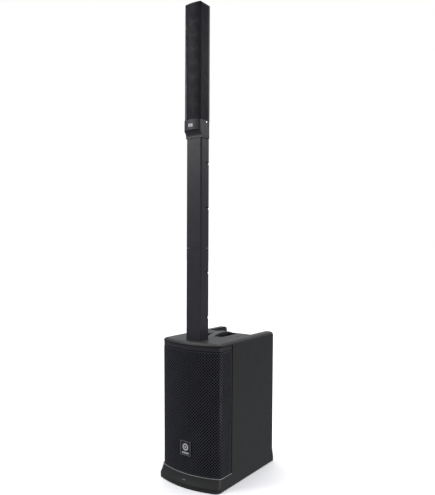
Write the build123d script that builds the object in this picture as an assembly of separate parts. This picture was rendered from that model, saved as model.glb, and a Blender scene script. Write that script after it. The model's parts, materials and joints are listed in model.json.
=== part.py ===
from build123d import *
import math
import os

# Column PA system: a powered subwoofer with a mixer, two plug-in spacers and a line array on top.
# Millimetres. +X is the right of someone facing the front, +Y the rear, +Z up.
# The origin is under the middle of the footprint, on the floor.

# ---- driving dimensions -------------------------------------------------------------------
TOTAL_HEIGHT = 2080.0
DECK_Z = 618.6
FLOOR_GAP = 3.0

# cabinet plan at its middle height; the walls have a moulding draft
BODY_HALF = 159.0
BODY_FRONT = -198.5
BODY_BOW = 35.3
BODY_REAR = 246.0
FRONT_CORNER = 24.0
REAR_CORNER = 20.0
DRAFT_LOW = -1.5
DRAFT_HIGH = 2.0
SKIRT_TOP_Z = 66.0
EDGE_ROUND = 16.0

# skirt at the floor
BASE_HALF_FRONT = 162.6
BASE_HALF_REAR = 160.8
BASE_FRONT = -215.3
BASE_BOW = 34.8
BASE_REAR = 250.1
SKIRT_BAND_Z = 20.0
SKIRT_HEIGHTS = (20.0, 31.0, 42.0, 54.0, 66.0)
FLARE_POWER = 1.45

FOOT_PLACES = [(x, y) for x in (-118, 118) for y in (-165, 205)]

WALL = 5.0
LEDGE_Z = 56.0
BROW_Z = 585.0
LIP_Z = 606.0
GRILLE_REAR = -112.3
GRILLE_INSET = 1.5
GRILLE_THICK = 2.0
GRILLE_GAP = 4.0
TRIM_GAP = 3.0
BAFFLE_FRONT = -178.0
BAFFLE_THICK = 15.0
BAFFLE_HALF = 142.0

WOOFER_Z = 292.0
WOOFER_RADIUS = 129.0
WOOFER_BOLT_RADIUS = 121.0
PORT_X = 100.0
PORT_Z = 108.0
PORT_RADIUS = 30.0
PORT_LENGTH = 130.0
BADGE_Z = 163.5
LENS_Z = 33.0
LENS_HALF_X = 9.0
LENS_HALF_Z = 1.6

# column sections
COLUMN_Y = -153.6
COLUMN_HALF_X = 41.0
COLUMN_HALF_Y = 29.9
COLUMN_CORNER = 7.0
TUBE_WALL = 3.5
SPACER_LENGTH = 477.0
SPACER_BURIED = 76.1
TONGUE_LENGTH = 60.0
TONGUE_HALF_X = 30.0
TONGUE_HALF_Y = 22.2
SEAT_GAP = 0.3
NOTCH_HEIGHTS = (174.0, 370.0)

LOWER_Z = DECK_Z - SPACER_BURIED - 1.0
UPPER_Z = LOWER_Z + SPACER_LENGTH
ARRAY_Z = UPPER_Z + SPACER_LENGTH
COLLAR_HEIGHT = 77.5
COVE_Y = COLUMN_Y - COLUMN_HALF_Y
COLLAR_SCREW_Y = -150.0
ARRAY_HALF = 43.0
ARRAY_REAR = -123.7
ARRAY_FRONT = -194.3
ARRAY_BOW = 5.5
ARRAY_CORNER = 6.0
ARRAY_BAFFLE_Y = -184.0
COLLAR_HALF = 43.5
COLLAR_FRONT = -197.8
CAP_THICK = 4.0
DRIVER_COUNT = 8
DRIVER_PITCH = 60.0

# carrying handle in the deck
WELL_HALF_X = 56.0
WELL_Y0 = -42.0
WELL_Y1 = 83.0
WELL_FLOOR_Z = 560.0
GRIP_HALF = 16.0
GRIP_RISE = 13.0

# rear recess between the cheeks, with a sloping control panel above an upright jack panel
RECESS_HALF = 120.0
RECESS_DECK_Y = 98.0
SLOPE_TOP_Z = 600.0
SLOPE_DEG = 55.0
JACK_FACE_Y = 187.0
RECESS_SILL_Z = 330.0
PANEL_THICK = 3.0

# heat sink in the lower rear wall
SINK_OPEN_X = 88.0
SINK_HALF = 98.0
SINK_Z0 = 97.0
SINK_Z1 = 293.0
SINK_SEAT_GAP = 1.6
FIN_COUNT = 12

# places of the controls: U runs across the panel, V up it
KNOB_U = (-84.0, -28.0, 28.0, 84.0)
KNOB_V = -46.0
ENCODER_UV = (80.0, 22.0)
BUTTON_U = (8.0, 34.0)
BUTTON_V = (36.0, 8.0)
SHAFT_RADIUS = 3.0
RUN = 0.05
JACK_BORE = 3.25
ROCKER_DEPTH = -1.0
ROCKER_TILT = 6.0


# ---- helpers ------------------------------------------------------------------------------
def block(x0, x1, y0, y1, z0, z1):
    """Box between two corners."""
    middle = Pos((x0 + x1) / 2, (y0 + y1) / 2, (z0 + z1) / 2)
    return middle * Box(x1 - x0, y1 - y0, z1 - z0)


def plan(half_front, half_rear, front, bow, rear, corner, rear_corner):
    """Closed outline with a bowed front, straight sides, a flat back and rounded corners."""
    curve = Curve() + [
        ThreePointArc((-half_front, front), (0, front - bow), (half_front, front)),
        Line((half_front, front), (half_rear, rear)),
        Line((half_rear, rear), (-half_rear, rear)),
        Line((-half_rear, rear), (-half_front, front)),
    ]
    face = make_face(curve)
    face = fillet(face.vertices().sort_by(Axis.Y)[:2], corner)
    return fillet(face.vertices().sort_by(Axis.Y)[-2:], rear_corner)


def body_plan(z, inset=0.0):
    """Cabinet outline at a height, drawn in by inset."""
    draft = DRAFT_LOW + (DRAFT_HIGH - DRAFT_LOW) * (z - SKIRT_TOP_Z) / (DECK_Z - SKIRT_TOP_Z)
    grow = draft - inset
    half = BODY_HALF + grow
    face = plan(half, half, BODY_FRONT - grow, BODY_BOW, BODY_REAR + grow,
                FRONT_CORNER + grow, REAR_CORNER + grow)
    return Pos(0, 0, z) * face


def body_block(z0, z1, inset=0.0):
    """Solid slice of the drafted cabinet between two heights."""
    return loft([body_plan(z0, inset), body_plan(z1, inset)], ruled=True)


def body_ring(z0, z1, outer, inner):
    """Skin of the cabinet between two insets."""
    return body_block(z0, z1, outer) - body_block(z0 - 1, z1 + 1, inner)


def ahead_of(y):
    """Everything in front of a depth."""
    return block(-400, 400, -400, y, -50, 2200)


def rounded_bar(half_x, half_y, corner, z0, z1, y_mid=COLUMN_Y):
    """Upright prism of a rounded rectangle, centred on the column."""
    outline = Pos(0, y_mid, z0) * RectangleRounded(2 * half_x, 2 * half_y, corner)
    return extrude(outline, z1 - z0)


def turned(points, centre):
    """Ring turned about an axis along Y through centre, from (radius, depth) points."""
    face = make_face(Polyline(*points, close=True))
    return Pos(*centre) * revolve(face, Axis.Y, 360)


def disc_y(radius, y0, y1, x=0.0, z=0.0):
    """Cylinder along Y between two depths."""
    return Pos(x, (y0 + y1) / 2, z) * Rot(90, 0, 0) * Cylinder(radius, y1 - y0)


def side_prism(points, half_x):
    """Prism across X from a closed outline of (y, z) points."""
    face = make_face(Plane.YZ * Polyline(*points, close=True))
    return Pos(-half_x, 0, 0) * extrude(face, 2 * half_x, dir=(1, 0, 0))


def save(name, shape):
    """Write one piece, or one group of like pieces, as its own STEP."""
    solids = shape.solids()
    body = solids[0] if len(solids) == 1 else Compound(children=list(solids))
    export_step(body, f"parts/{name}.step")


def group(pieces):
    """Several separate solids in one node."""
    return Compound(children=[solid for piece in pieces for solid in piece.solids()])


# ---- rear recess geometry -----------------------------------------------------------------
slope_run = JACK_FACE_Y - RECESS_DECK_Y
slope_drop = slope_run * math.tan(math.radians(SLOPE_DEG))
slope_foot_z = SLOPE_TOP_Z - slope_drop
slope_length = slope_run / math.cos(math.radians(SLOPE_DEG))
slope_normal = (0, math.sin(math.radians(SLOPE_DEG)), math.cos(math.radians(SLOPE_DEG)))
control_plane = Plane(
    origin=(0, RECESS_DECK_Y + slope_run / 2, SLOPE_TOP_Z - slope_drop / 2),
    x_dir=(-1, 0, 0), z_dir=slope_normal)
jack_mid_z = (slope_foot_z + RECESS_SILL_Z) / 2
jack_half_v = (slope_foot_z - RECESS_SILL_Z) / 2
jack_plane = Plane(origin=(0, JACK_FACE_Y, jack_mid_z), x_dir=(-1, 0, 0), z_dir=(0, 1, 0))


def slope_height(y, grow):
    """Height of the sloping wall at a depth, once it is grown into the cabinet."""
    lean = math.radians(SLOPE_DEG)
    along = y - RECESS_DECK_Y + grow * math.sin(lean)
    return SLOPE_TOP_Z - grow * math.cos(lean) - along * math.tan(lean)


def recess_outline(grow):
    """Side view of the recess, grown into the cabinet by grow."""
    deck_y = RECESS_DECK_Y - grow
    jack_y = JACK_FACE_Y - grow
    sill_z = RECESS_SILL_Z - grow
    return [(deck_y, 700), (deck_y, slope_height(deck_y, grow)),
            (jack_y, slope_height(jack_y, grow)), (jack_y, sill_z),
            (300, sill_z - 6), (300, 700)]


# ---- cabinet ------------------------------------------------------------------------------
def base_plan(z):
    """Outline of the skirt's lower band."""
    face = plan(BASE_HALF_FRONT, BASE_HALF_REAR, BASE_FRONT, BASE_BOW, BASE_REAR,
                FRONT_CORNER, REAR_CORNER)
    return Pos(0, 0, z) * face


def skirt_plan(z):
    """Outline of the skirt where it flares in a hollow curve from the walls to its lower band."""
    climb = (z - SKIRT_BAND_Z) / (SKIRT_TOP_Z - SKIRT_BAND_Z)
    share = 1 - (1 - climb) ** FLARE_POWER
    half = BODY_HALF + DRAFT_LOW
    band = (BASE_HALF_FRONT, BASE_HALF_REAR, BASE_FRONT, BASE_BOW, BASE_REAR,
            FRONT_CORNER, REAR_CORNER)
    wall = (half, half, BODY_FRONT - DRAFT_LOW, BODY_BOW, BODY_REAR + DRAFT_LOW,
            FRONT_CORNER + DRAFT_LOW, REAR_CORNER + DRAFT_LOW)
    mixed = [low + share * (high - low) for low, high in zip(band, wall)]
    return Pos(0, 0, z) * plan(*mixed)


def cabinet_shell():
    """One moulding: sides, deck, cheeks and flared skirt, open at the front and below."""
    body = body_block(SKIRT_TOP_Z, DECK_Z)
    body = fillet(body.faces().sort_by(Axis.Z)[-1].edges(), EDGE_ROUND)
    skirt = loft([skirt_plan(z) for z in SKIRT_HEIGHTS])
    shell = body + skirt + extrude(base_plan(FLOOR_GAP), SKIRT_BAND_Z - FLOOR_GAP)

    # rebate for the wrap-round grille, and the open front ahead of the baffle
    rebate = body_block(LEDGE_Z, LIP_Z, -6.0) - body_block(LEDGE_Z - 1, LIP_Z + 1, 6.0)
    shell -= rebate & ahead_of(GRILLE_REAR)
    shell -= body_block(LEDGE_Z, LIP_Z, -6.0) & ahead_of(BAFFLE_FRONT)

    # interior
    toe = body_block(FLOOR_GAP - 1, LEDGE_Z - 6, 6.0)
    front_room = block(-BAFFLE_HALF, BAFFLE_HALF, BAFFLE_FRONT - 1, GRILLE_REAR + 6, LEDGE_Z, LIP_Z)
    neck = block(-BAFFLE_HALF, BAFFLE_HALF, BAFFLE_FRONT + BAFFLE_THICK, GRILLE_REAR + 6,
                 LEDGE_Z - 7, LEDGE_Z + 1)
    rear_room = body_block(LEDGE_Z - 7, DECK_Z - 6, WALL) - ahead_of(GRILLE_REAR + 5)
    recess_shield = side_prism(recess_outline(PANEL_THICK + WALL), RECESS_HALF + WALL)
    shell -= toe + front_room + neck + (rear_room - recess_shield)

    # rear recess with openings behind both panels
    shell -= side_prism(recess_outline(PANEL_THICK), RECESS_HALF)
    slope_opening = Box(2 * RECESS_HALF - 26, slope_length - 26, 30)
    jack_opening = Box(2 * RECESS_HALF - 26, 2 * jack_half_v - 22, 30)
    shell -= control_plane.location * slope_opening
    shell -= jack_plane.location * jack_opening

    # deck openings for the column and the hand, rear opening for the heat sink
    shell -= rounded_bar(COLUMN_HALF_X + 1.6, COLUMN_HALF_Y + 1.6, COLUMN_CORNER, LIP_Z - 1, 640)
    well_mid = (WELL_Y0 + WELL_Y1) / 2
    well = rounded_bar(WELL_HALF_X, (WELL_Y1 - WELL_Y0) / 2, 14, LIP_Z - 1, 640, well_mid)
    shell -= well
    shell -= block(-SINK_OPEN_X, SINK_OPEN_X, BODY_REAR - 12, BODY_REAR + 20,
                   SINK_Z0 + 10, SINK_Z1 - 10)
    shell -= lens_block(0.0)
    return shell


def lens_block(clearance):
    """Light window let into the front of the skirt."""
    half_x = LENS_HALF_X + clearance
    half_z = LENS_HALF_Z + clearance
    front = skirt_plan(LENS_Z).bounding_box().min.Y - 0.8
    return block(-half_x, half_x, front, front + 15, LENS_Z - half_z, LENS_Z + half_z)


def bottom_plate():
    """Flat plate that closes the skirt from below, with holes for feet and screws."""
    plate = extrude(body_plan(SKIRT_TOP_Z, 6.5), -3)
    plate = Pos(0, 0, 5 + 3 - SKIRT_TOP_Z) * plate
    for x, y in FOOT_PLACES:
        plate -= Pos(x, y, 5) * Cylinder(4.1, 20)
    return plate


def rubber_foot(x, y):
    """Round foot with a stem that pushes into the plate."""
    pad = Pos(x, y, 2.5) * Cylinder(17, 5)
    pad = chamfer(pad.edges().sort_by(Axis.Z)[0], 1.2)
    return pad + Pos(x, y, 7) * Cylinder(4, 6)


def front_baffle():
    """Board that carries the woofer and the two ports, notched round the column socket."""
    board = block(-BAFFLE_HALF + 0.2, BAFFLE_HALF - 0.2, BAFFLE_FRONT, BAFFLE_FRONT + BAFFLE_THICK,
                  LEDGE_Z + 0.2, LIP_Z - 0.2)
    board -= block(-SOCKET_X - 0.2, SOCKET_X + 0.2, BAFFLE_FRONT - 5, BAFFLE_FRONT + 30,
                   SOCKET_Z0 - 0.2, 700)
    board -= disc_y(112.5, BAFFLE_FRONT - 5, BAFFLE_FRONT + 30, 0, WOOFER_Z)
    for side in (-1, 1):
        board -= disc_y(PORT_RADIUS + 3, BAFFLE_FRONT - 5, BAFFLE_FRONT + 30, side * PORT_X, PORT_Z)
    for x, z in ring_places(8, WOOFER_BOLT_RADIUS):
        board -= disc_y(2.4, BAFFLE_FRONT - 5, BAFFLE_FRONT + 30, x, z + WOOFER_Z)
    return board


def ring_places(count, radius):
    """Even places round a circle, starting off the vertical."""
    steps = [math.tau * (i + 0.5) / count for i in range(count)]
    return [(radius * math.sin(a), radius * math.cos(a)) for a in steps]


# ---- woofer -------------------------------------------------------------------------------
WOOFER_CENTRE = (0, BAFFLE_FRONT, WOOFER_Z)


def woofer_frame():
    """Pressed basket: bolting flange, windowed cone and back plate."""
    basket = turned([(104, -4), (WOOFER_RADIUS, -4), (WOOFER_RADIUS, 0), (111, 0), (108, 10),
                     (72, 72), (30, 72), (30, 69), (70, 69), (104, 9)], WOOFER_CENTRE)
    for x, z in ring_places(6, 90):
        angle = math.degrees(math.atan2(x, z))
        window = Pos(0, BAFFLE_FRONT + 40, WOOFER_Z) * Rot(0, angle, 0) * Pos(0, 0, 90) * Box(56, 36, 60)
        basket -= window
    for x, z in ring_places(8, WOOFER_BOLT_RADIUS):
        basket -= disc_y(2.4, BAFFLE_FRONT - 10, BAFFLE_FRONT + 10, x, z + WOOFER_Z)
    return basket


def woofer_surround():
    """Half-roll rubber edge between the frame and the cone."""
    roll = Curve() + [
        Line((92, -4), (94, -4)), ThreePointArc((94, -4), (103, -13), (112, -4)),
        Line((112, -4), (115, -4)), Line((115, -4), (115, -5.2)), Line((115, -5.2), (113, -5.2)),
        ThreePointArc((113, -5.2), (103, -14.6), (93, -5.2)), Line((93, -5.2), (92, -5.2)),
        Line((92, -5.2), (92, -4))]
    return Pos(*WOOFER_CENTRE) * revolve(make_face(roll), Axis.Y, 360)


def woofer_cone():
    """Paper cone with its glued edge under the surround."""
    return turned([(94, -4), (92, -2), (34, 42), (34, 44.5), (91, 0.5), (98, -2), (98, -4)],
                  WOOFER_CENTRE)


def dome_line(radius, rise, apex):
    """Arc of a dome from its apex, which lies on the axis, to its rim."""
    sphere = (radius ** 2 + rise ** 2) / (2 * rise)
    mid = radius / 2
    mid_y = apex + sphere - math.sqrt(sphere ** 2 - mid ** 2)
    return ThreePointArc((0, apex), (mid, mid_y), (radius, apex + rise))


def woofer_dust_cap():
    """Domed centre of the cone, glued to the cone's front face along its rim."""
    radius, rise, thick = 41, 20, 2
    rear = 16.6
    front = rear - thick
    face = make_face(Curve() + [
        dome_line(radius, rise, front), Line((radius, front + rise), (radius, rear + rise)),
        dome_line(radius, rise, rear), Line((0, rear), (0, front))])
    return Pos(*WOOFER_CENTRE) * revolve(face, Axis.Y, 360)


def woofer_magnet():
    """Ferrite ring with its plates and pole, slotted for the coil."""
    return turned([(0, 72), (31, 72), (31, 96), (35.5, 96), (35.5, 72.2), (62, 72.2), (62, 80),
                   (75, 80), (75, 102), (66, 108), (0, 108)], WOOFER_CENTRE)


def port_tube(x):
    """Flared bass port."""
    y0 = BAFFLE_FRONT
    tube = turned([(PORT_RADIUS, 0), (PORT_RADIUS + 12, -2), (PORT_RADIUS + 12, -0.1),
                   (PORT_RADIUS + 2.9, -0.1), (PORT_RADIUS + 2.9, PORT_LENGTH),
                   (PORT_RADIUS, PORT_LENGTH)], (x, y0, PORT_Z))
    return tube


def baffle_screw(x, z):
    """Pan-head screw through the woofer flange into the baffle."""
    head = disc_y(4.5, BAFFLE_FRONT - 7, BAFFLE_FRONT - 4, x, z)
    return head + disc_y(2.3, BAFFLE_FRONT - 4, BAFFLE_FRONT + 13, x, z)


# ---- front grille -------------------------------------------------------------------------
def front_grille():
    """Bent steel sheet from one side, round the bowed front, to the other side."""
    ring = body_ring(LEDGE_Z + TRIM_GAP, BROW_Z - TRIM_GAP, GRILLE_INSET, GRILLE_INSET + GRILLE_THICK)
    return ring & ahead_of(GRILLE_REAR - GRILLE_GAP)


def grille_foam():
    """Thin dust foam stuck behind the grille's front."""
    ring = body_ring(LEDGE_Z + TRIM_GAP + 1, BROW_Z - TRIM_GAP - 1, GRILLE_INSET + GRILLE_THICK + 0.1,
                     GRILLE_INSET + GRILLE_THICK + 2.1)
    return ring & ahead_of(GRILLE_REAR - GRILLE_GAP - 6)


def grille_brow():
    """Plain trim band between the grille and the deck's lip."""
    ring = body_ring(BROW_Z, LIP_Z - TRIM_GAP, GRILLE_INSET + 0.8, GRILLE_INSET + 4.2)
    return ring & ahead_of(GRILLE_REAR - GRILLE_GAP)


def grille_badge():
    """Small square plate on the middle of the grille."""
    back = body_plan(BADGE_Z, GRILLE_INSET).bounding_box().min.Y - 0.3
    plate = extrude(Plane.XZ * RectangleRounded(58, 64, 4), 2.4)
    return Pos(0, back, BADGE_Z) * plate


# ---- column socket ------------------------------------------------------------------------
SOCKET_X = COLUMN_HALF_X + 4.6
SOCKET_Y = COLUMN_HALF_Y + 4.6
SOCKET_Z0 = LOWER_Z - TONGUE_LENGTH - 12


def column_socket():
    """Deep stepped socket under the deck that the lowest spacer stands in."""
    liner = rounded_bar(SOCKET_X, SOCKET_Y, 3, SOCKET_Z0, LIP_Z - 0.2)
    liner -= rounded_bar(COLUMN_HALF_X + SEAT_GAP, COLUMN_HALF_Y + SEAT_GAP, COLUMN_CORNER,
                         LOWER_Z - SEAT_GAP, 700)
    liner -= rounded_bar(TONGUE_HALF_X + SEAT_GAP, TONGUE_HALF_Y + SEAT_GAP, 3,
                         SOCKET_Z0 + 5, 700)
    return liner


def contact_row(z0, z1):
    """Row of five sprung contacts across the column's centre."""
    return group([block(x - 2, x + 2, COLUMN_Y - 4, COLUMN_Y + 4, z0, z1)
                  for x in range(-20, 21, 10)])


# ---- carrying handle ----------------------------------------------------------------------
def handle_tub():
    """Closed tub under the deck opening that keeps the cabinet airtight."""
    mid = (WELL_Y0 + WELL_Y1) / 2
    half_y = (WELL_Y1 - WELL_Y0) / 2
    tub = rounded_bar(WELL_HALF_X + 4, half_y + 4, 18, WELL_FLOOR_Z, DECK_Z - 6.2, mid)
    hollow = rounded_bar(WELL_HALF_X, half_y, 14, WELL_FLOOR_Z + 4, 700, mid)
    return tub - hollow


def handle_grip():
    """Arched bar across the well, front to back, with a rounded section."""
    mid = (WELL_Y0 + WELL_Y1) / 2
    reach = (WELL_Y1 - WELL_Y0) / 2 + 17
    under = (WELL_Y1 - WELL_Y0) / 2 - 0.3
    top = ThreePointArc((mid - reach, DECK_Z), (mid, DECK_Z + GRIP_RISE), (mid + reach, DECK_Z))
    outline = Curve() + [
        top, Line((mid + reach, DECK_Z), (mid + under, DECK_Z)),
        Line((mid + under, DECK_Z), (mid + under, DECK_Z - 8)),
        ThreePointArc((mid + under, DECK_Z - 8), (mid, DECK_Z - 1.5), (mid - under, DECK_Z - 8)),
        Line((mid - under, DECK_Z - 8), (mid - under, DECK_Z)),
        Line((mid - under, DECK_Z), (mid - reach, DECK_Z))]
    face = make_face(Plane.YZ * outline)
    bar = Pos(-GRIP_HALF, 0, 0) * extrude(face, 2 * GRIP_HALF, dir=(1, 0, 0))
    crown = bar.edges().filter_by(GeomType.CIRCLE).group_by(Axis.Z)[-1]
    return fillet(crown, 5)


# ---- rear panel and what it carries -------------------------------------------------------
def on_slope(u, v, depth, shape):
    """Place a shape on the control panel: its local Z points out of the panel."""
    return control_plane.location * Pos(u, v, depth) * shape


def on_jacks(u, v, depth, shape):
    """Place a shape on the jack panel: its local Z points out of the panel."""
    return jack_plane.location * Pos(u, v, depth) * shape


COMBO_V = 38.0
SECOND_V = -4.0
THIRD_V = -46.0
OUTPUT_U = -84.0
MINI_JACK_U = (-28.0, 0.0)
INLET_U = 66.0
ROCKER_U = 8.0


def rear_panel():
    """Folded steel panel: sloping control face above an upright jack face."""
    sheet = side_prism(recess_outline(PANEL_THICK - 0.2), RECESS_HALF - 0.4)
    sheet -= side_prism(recess_outline(0), RECESS_HALF + 5)
    sheet &= block(-200, 200, RECESS_DECK_Y - 0.5, JACK_FACE_Y + 1, RECESS_SILL_Z - 0.1, SLOPE_TOP_Z - 2)
    sheet -= on_slope(-60, 20, 0, Box(82, 50, 20))
    for u in KNOB_U:
        sheet -= on_slope(u, KNOB_V, 0, Cylinder(SHAFT_RADIUS + 0.6, 20))
    sheet -= on_slope(*ENCODER_UV, 0, Cylinder(SHAFT_RADIUS + 0.6, 20))
    for u in BUTTON_U:
        for v in BUTTON_V:
            sheet -= on_slope(u, v, 0, Box(16.6, 10.6, 20))
    for u in KNOB_U:
        sheet -= on_jacks(u, COMBO_V, 0, Cylinder(12.1, 20))
    sheet -= on_jacks(OUTPUT_U, SECOND_V, 0, Cylinder(12.1, 20))
    for u in MINI_JACK_U:
        sheet -= on_jacks(u, SECOND_V, 0, Cylinder(4.1, 20))
    sheet -= on_jacks(INLET_U, THIRD_V, 0, Box(27.4, 20.4, 20))
    sheet -= on_jacks(ROCKER_U, THIRD_V, 0, Box(22.4, 13.4, 20))
    for place in panel_screw_places():
        sheet -= place * Cylinder(1.7, 20)
    return sheet


def panel_screw_places():
    """Corner screws of the control face and of the jack face."""
    v_slope = slope_length / 2 - 9
    v_jacks = jack_half_v - 6
    slope = [control_plane.location * Pos(u, v, 0) for u in (-112, 112) for v in (-v_slope, v_slope)]
    jacks = [jack_plane.location * Pos(u, v, 0) for u in (-112, 112) for v in (-v_jacks, v_jacks)]
    return slope + jacks


def panel_screw(place):
    """Small round-head screw."""
    head = Pos(0, 0, 0.9) * Cylinder(3.2, 1.8)
    head = fillet(head.edges().sort_by(Axis.Z)[-1], 1.0)
    return place * (head + Pos(0, 0, -1.5) * Cylinder(1.6, 3))


def display_window():
    """Clear window over the control display."""
    pane = Box(90, 58, 1.6)
    pane = fillet(pane.edges().filter_by(Axis.Z), 4)
    return on_slope(-60, 20, 0.9, pane)


def knob(radius, height, shaft_length):
    """Round knob with a skirt, grip flutes, a pointer slot and its own shaft."""
    cap = Pos(0, 0, height / 2 + 0.5) * Cone(radius, radius * 0.86, height)
    cap = fillet(cap.edges().sort_by(Axis.Z)[-1], 1.2)
    for step in range(12):
        turn = Rot(0, 0, 30 * step)
        cap -= turn * Pos(radius + 0.6, 0, height / 2 + 3.5) * Cylinder(1.6, height)
    cap -= Pos(0, radius * 0.55, height + 0.5) * Box(1.4, radius * 0.9, 1.6)
    return cap + Pos(0, 0, 0.6 - shaft_length / 2) * Cylinder(SHAFT_RADIUS, shaft_length)


def push_button():
    """Rectangular key with a retaining flange under the panel."""
    key = Pos(0, 0, -1.0) * Box(16, 10, 6)
    key = fillet(key.edges().sort_by(Axis.Z)[-4:], 0.8)
    return key + Pos(0, 0, -5.0) * Box(17.6, 11.6, 2)


def control_pot():
    """Body of a rotary control, with a bushing for the shaft."""
    can = Pos(0, 0, -20) * Box(14, 14, 9) + Pos(0, 0, -11.0) * Cylinder(4.6, 9)
    return can - Pos(0, 0, -10) * Cylinder(SHAFT_RADIUS + RUN, 40)


def mixer_board():
    """Main circuit board behind the control panel."""
    board = on_slope(0, -6, -25.4, Box(205, 108, 1.6))
    for u, v in all_controls():
        board -= on_slope(u, v, -25, Cylinder(SHAFT_RADIUS + 1, 10))
    return board


def all_controls():
    """Places of every rotary control on the slope."""
    return [(u, KNOB_V) for u in KNOB_U] + [ENCODER_UV]


def combo_jack():
    """Combined round plug and three-pin input socket."""
    flange = Pos(0, 0, 1.0) * Box(26, 31, 2)
    flange = fillet(flange.edges().filter_by(Axis.Z), 4)
    barrel = Pos(0, 0, -15.1) * Cylinder(11.9, 30.2)
    jack = flange + barrel
    jack -= Pos(0, 0, -10) * Cylinder(JACK_BORE, 24.1)
    for degrees in (90, 210, 330):
        jack -= Rot(0, 0, degrees) * Pos(7.6, 0, -5) * Cylinder(1.3, 15)
    return jack


def output_jack():
    """Three-pin output socket with a recessed floor."""
    flange = Pos(0, 0, 1.0) * Box(26, 31, 2)
    flange = fillet(flange.edges().filter_by(Axis.Z), 4)
    jack = flange + Pos(0, 0, -12.1) * Cylinder(11.9, 24.2)
    jack -= Pos(0, 0, -6) * Cylinder(9.5, 18)
    for degrees in (90, 210, 330):
        jack += Rot(0, 0, degrees) * Pos(5.0, 0, -9.5) * Cylinder(1.2, 12)
    return jack


def small_jack():
    """Mini-jack socket with a knurled nut."""
    jack = Pos(0, 0, 1.2) * Cylinder(5.4, 2.4) + Pos(0, 0, -8) * Cylinder(4.0, 16)
    return jack - Pos(0, 0, -5) * Cylinder(1.8, 18)


def power_inlet():
    """Mains inlet with three blades in a recess."""
    flange = Pos(0, 0, 1.0) * Box(31, 25, 2)
    flange = fillet(flange.edges().filter_by(Axis.Z), 3)
    inlet = flange + Pos(0, 0, -13) * Box(27, 20, 26)
    inlet -= Pos(0, 0, -6.5) * Box(23, 16, 17.2)
    for u, v in ((-7, -1), (0, 3), (7, -1)):
        inlet += Pos(u, v, -9.5) * Box(2, 4, 12)
    return inlet


def rocker_frame():
    """Frame of the mains switch."""
    frame = Pos(0, 0, 0.6) * Box(25, 16, 1.2) + Pos(0, 0, -8) * Box(22, 13, 16)
    frame -= Pos(0, 0, -4) * Box(19.6, 10.6, 20)
    return frame - Pos(0, 0, ROCKER_DEPTH) * Rot(90, 0, 0) * Cylinder(1.5 + RUN, 12.4)


def power_rocker():
    """Rocker with its two pivot stubs, tipped to the off side."""
    paddle = Box(18.6, 10.0, 5)
    paddle = fillet(paddle.edges().filter_by(Axis.Y), 1.2)
    paddle = Pos(0, 0, 1.6) * paddle + Rot(90, 0, 0) * Cylinder(1.5, 12)
    return Pos(0, 0, ROCKER_DEPTH) * Rot(0, -ROCKER_TILT, 0) * paddle


def heat_sink():
    """Die-cast tray that fills the rear opening, with upright fins."""
    tray = block(-SINK_HALF, SINK_HALF, BODY_REAR - 19,
                 BODY_REAR - WALL - SINK_SEAT_GAP, SINK_Z0, SINK_Z1)
    tray -= block(-SINK_OPEN_X + 0.5, SINK_OPEN_X - 0.5, BODY_REAR - 13, BODY_REAR,
                  SINK_Z0 + 10.5, SINK_Z1 - 10.5)
    pitch = 2 * (SINK_OPEN_X - 8) / (FIN_COUNT - 1)
    for i in range(FIN_COUNT):
        x = -SINK_OPEN_X + 8 + i * pitch
        tray += block(x - 1.5, x + 1.5, BODY_REAR - 14, BODY_REAR - 1.5, SINK_Z0 + 16, SINK_Z1 - 16)
    return tray


def amplifier_board():
    """Amplifier board on the inner face of the heat sink, with its power devices."""
    board = block(-85, 85, BODY_REAR - 30, BODY_REAR - 28.4, SINK_Z0 + 12, SINK_Z1 - 12)
    for x in (-60, -20, 20, 60):
        board += block(x - 8, x + 8, BODY_REAR - 28.4, BODY_REAR - 19, 180, 210)
    return board


def power_supply():
    """Closed mains supply module on the cabinet floor."""
    case = block(-80, 80, 40, 170, 56, 100)
    return fillet(case.edges().filter_by(Axis.Z), 4)


# ---- column sections ----------------------------------------------------------------------
def notch(side, z):
    """Slanted pocket across the rear corner of a spacer's side face."""
    pocket = Box(14, 34, 8)
    pocket = fillet(pocket.edges().filter_by(Axis.X), 3)
    x = side * COLUMN_HALF_X
    return Pos(x, COLUMN_Y + COLUMN_HALF_Y - 10, z) * Rot(-14, 0, 0) * pocket


def spacer_tube(z0):
    """Outer tube of a spacer, with chamfered ends and four slanted notches."""
    z1 = z0 + SPACER_LENGTH - SEAT_GAP
    tube = rounded_bar(COLUMN_HALF_X, COLUMN_HALF_Y, COLUMN_CORNER, z0, z1)
    ends = tube.faces().sort_by(Axis.Z)
    tube = chamfer(ends[0].edges() + ends[-1].edges(), 0.9)
    for height in NOTCH_HEIGHTS:
        for side in (-1, 1):
            tube -= notch(side, z0 + height)
    bore = rounded_bar(COLUMN_HALF_X - TUBE_WALL, COLUMN_HALF_Y - TUBE_WALL,
                       COLUMN_CORNER - TUBE_WALL, z0 - 5, z1 + 5)
    lining = [notch_lining(side, z0 + height) for height in NOTCH_HEIGHTS for side in (-1, 1)]
    tube -= bore
    for pocket in lining:
        tube += pocket
    return tube


def notch_lining(side, z):
    """Blind floor that closes a notch from inside the tube."""
    x0 = side * (COLUMN_HALF_X - TUBE_WALL - 6.0)
    x1 = side * (COLUMN_HALF_X - TUBE_WALL + 0.5)
    y1 = COLUMN_Y + COLUMN_HALF_Y - TUBE_WALL + 0.5
    lining = block(min(x0, x1), max(x0, x1), y1 - 28, y1, z - 12, z + 12)
    return lining - notch(side, z)


def plug(z0):
    """Connector plug: a block fixed in the end of a section, and the tongue below it."""
    head = rounded_bar(COLUMN_HALF_X - TUBE_WALL - 0.2, COLUMN_HALF_Y - TUBE_WALL - 0.2,
                       3, z0 + 0.5, z0 + 30)
    tongue = rounded_bar(TONGUE_HALF_X, TONGUE_HALF_Y, 3, z0 - TONGUE_LENGTH, z0 + 1)
    tongue = chamfer(tongue.faces().sort_by(Axis.Z)[0].edges(), 1.5)
    return head + tongue


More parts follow.
